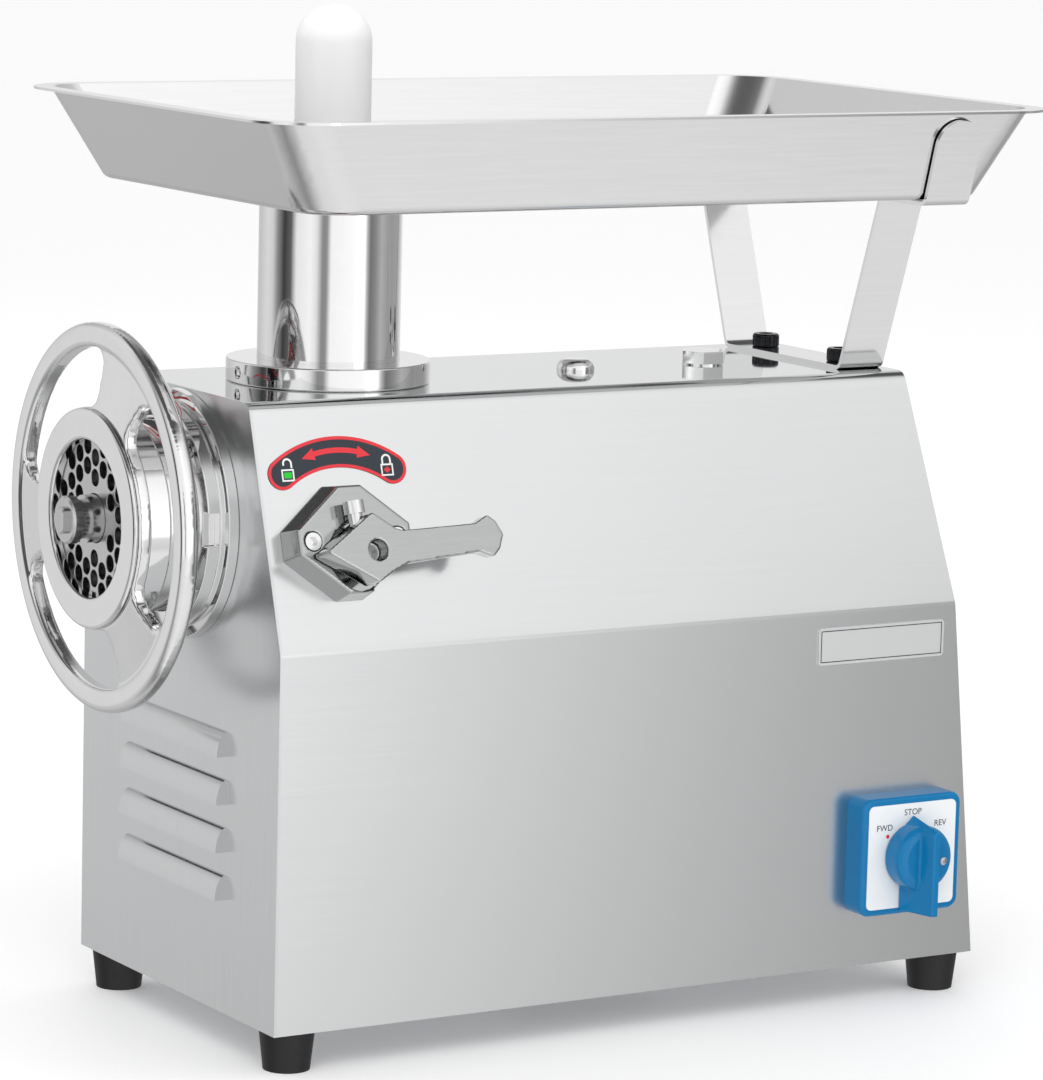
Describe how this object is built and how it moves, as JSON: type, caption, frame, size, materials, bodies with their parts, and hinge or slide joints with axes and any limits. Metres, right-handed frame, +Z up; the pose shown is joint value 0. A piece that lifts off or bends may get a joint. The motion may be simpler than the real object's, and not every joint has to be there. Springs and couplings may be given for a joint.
{
  "type": "electric meat grinder",
  "caption": "Bench meat grinder in stainless sheet with a screw-fed grinding head, spoked ring nut, raised feed tray with pusher, side lock lever and rotary switch.",
  "frame": {"origin": "on the floor, under the middle of the overall box", "axes": "+Z up, the auger runs along X with the outlet at -X, the switch and lock lever are on the -Y side"},
  "size_m": [0.483, 0.2784, 0.4973],
  "materials": {
    "satin_steel": "fine satin brushed stainless sheet",
    "polished_steel": "polished stainless steel",
    "head_casting": "polished stainless casting",
    "plate_steel": "ground stainless steel",
    "black_oxide": "black oxide on knurled steel",
    "rubber_foot": "matt black rubber",
    "pusher_plastic": "white food-grade plastic",
    "switch_blue": "glossy blue moulding",
    "switch_white": "printed satin foil",
    "label_black": "printed vinyl",
    "gear_steel": "cut steel, oiled",
    "gearbox_alloy": "cast aluminium",
    "motor_paint": "dark grey enamel",
    "lamination": "varnished laminations",
    "fan_plastic": "black nylon",
    "black_plastic": "black moulding",
    "zinc_steel": "bright zinc plate"
  },
  "bodies": {
    "housing": {"housing_wrap": "satin_steel", "outlet_panel": "satin_steel", "rear_panel": "satin_steel", "base_plate": "zinc_steel", "feet": "rubber_foot", "foot_screws": "zinc_steel", "mount_ring": "head_casting", "ring_screws": "polished_steel", "ring_label": "label_black", "barrel": "head_casting", "plate_pin": "zinc_steel", "mincing_plate": "plate_steel", "tray_bracket": "polished_steel", "bracket_screws": "black_oxide", "filler_plug": "polished_steel", "vent_cap": "polished_steel", "lock_flange": "head_casting", "flange_screws": "polished_steel", "side_label": "label_black", "nameplate": "satin_steel", "switch_plate": "switch_blue", "switch_label": "switch_white", "switch_body": "black_plastic", "gearbox_case": "gearbox_alloy", "gearbox_cover": "gearbox_alloy", "stator": "lamination", "motor_shell": "motor_paint", "motor_cap": "gearbox_alloy", "bearings": "gear_steel", "motor_cradle": "zinc_steel", "capacitor": "black_plastic", "cable_gland": "black_plastic", "gland_nut": "zinc_steel"},
    "ring_nut": {"nut_hub": "head_casting", "handwheel": "head_casting"},
    "auger_drive": {"auger": "head_casting", "auger_stub": "polished_steel", "knife": "plate_steel", "output_gear": "gear_steel"},
    "layshaft": {"layshaft": "gear_steel"},
    "rotor": {"rotor": "gear_steel", "motor_fan": "fan_plastic"},
    "neck": {"feed_neck": "head_casting", "neck_collar": "head_casting", "collar_screw": "polished_steel"},
    "feed_tray": {"tray": "polished_steel", "tray_spigot": "polished_steel"},
    "pusher": {"pusher": "pusher_plastic"},
    "lock": {"lock_shaft": "polished_steel", "lock_lever": "head_casting", "lever_bolt": "polished_steel"},
    "knob": {"switch_knob": "switch_blue", "knob_screw": "zinc_steel", "switch_spindle": "black_plastic"}
  },
  "joints": [
    {"name": "rotor_spin", "type": "hinge", "parent": "housing", "child": "rotor", "pos_m": [0.1, 0, 0.1365], "axis": [1, 0, 0], "continuous": true},
    {"name": "layshaft_spin", "type": "hinge", "parent": "housing", "child": "layshaft", "pos_m": [0, 0, 0.1945], "axis": [1, 0, 0], "continuous": true},
    {"name": "auger_spin", "type": "hinge", "parent": "housing", "child": "auger_drive", "pos_m": [-0.1, 0, 0.2545], "axis": [1, 0, 0], "continuous": true},
    {"name": "ring_nut_turn", "type": "hinge", "parent": "housing", "child": "ring_nut", "pos_m": [-0.22, 0, 0.2545], "axis": [-1, 0, 0], "range_deg": [0, 360]},
    {"name": "neck_lift", "type": "slide", "parent": "housing", "child": "neck", "axis": [0, 0, 1], "range_m": [0, 0.06]},
    {"name": "tray_lift", "type": "slide", "parent": "neck", "child": "feed_tray", "axis": [0, 0, 1], "range_m": [0, 0.12]},
    {"name": "pusher_slide", "type": "slide", "parent": "neck", "child": "pusher", "axis": [0, 0, 1], "range_m": [0, 0.2]},
    {"name": "lock_turn", "type": "hinge", "parent": "housing", "child": "lock", "pos_m": [-0.1345, -0.10912, 0.24853], "axis": [0, -0.9536, 0.3011], "range_deg": [0, 80]},
    {"name": "switch_turn", "type": "hinge", "parent": "housing", "child": "knob", "pos_m": [0.177, -0.12, 0.0775], "axis": [0, -1, 0], "range_deg": [-60, 60]}
  ],
  "couplings": [
    {"joint": "layshaft_spin", "follows": "rotor_spin", "ratio": -0.31818},
    {"joint": "auger_spin", "follows": "rotor_spin", "ratio": 0.10606}
  ]
}
